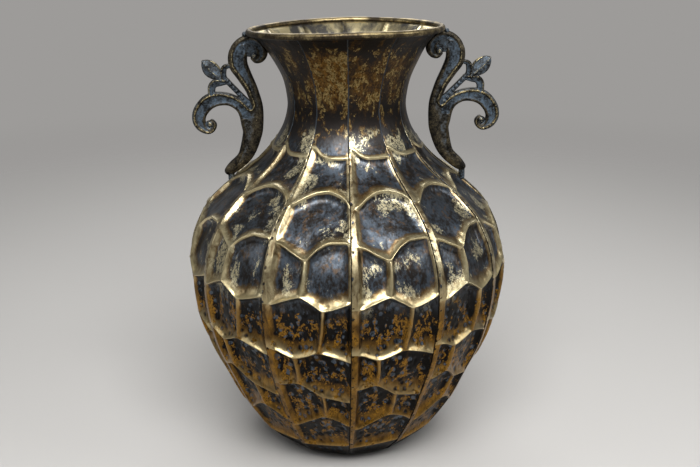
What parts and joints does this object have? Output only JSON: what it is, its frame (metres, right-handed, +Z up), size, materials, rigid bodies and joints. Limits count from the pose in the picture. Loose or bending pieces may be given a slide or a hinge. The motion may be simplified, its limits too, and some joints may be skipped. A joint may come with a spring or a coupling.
{
  "type": "vase",
  "caption": "Bulbous sheet-metal vase of pressed gores with stamped cells, a flared neck, a rod rim and a scroll handle on each side.",
  "frame": {"origin": "on the floor, at the centre of the base disc's underside", "axes": "+Z up along the vase's axis; the handles lie along +X and -X; a seam faces -Y"},
  "size_m": [0.3594, 0.3594, 0.48],
  "materials": {
    "pressed_sheet": "pressed sheet iron with a rubbed antique-brass finish over dark brown patina, blue-grey in the hollows",
    "rod": "steel rod with a dark patina, brass rubbed through on top",
    "base_plate": "plain dark sheet",
    "casting": "cast scrollwork, blue-grey patina with brass rubbed on the raised edges",
    "pin": "dark steel stud",
    "braze": "dull brazed fillet"
  },
  "bodies": {
    "root": {"gore_01": "pressed_sheet", "gore_02": "pressed_sheet", "gore_03": "pressed_sheet", "gore_04": "pressed_sheet", "gore_05": "pressed_sheet", "gore_06": "pressed_sheet", "gore_07": "pressed_sheet", "gore_08": "pressed_sheet", "gore_09": "pressed_sheet", "gore_10": "pressed_sheet", "gore_11": "pressed_sheet", "gore_12": "pressed_sheet", "rim_ring": "rod", "base_disc": "base_plate", "handle_left": "casting", "handle_right": "casting", "foot_pin_left": "pin", "foot_pin_right": "pin", "rim_braze_left": "braze", "rim_braze_right": "braze"}
  },
  "joints": []
}
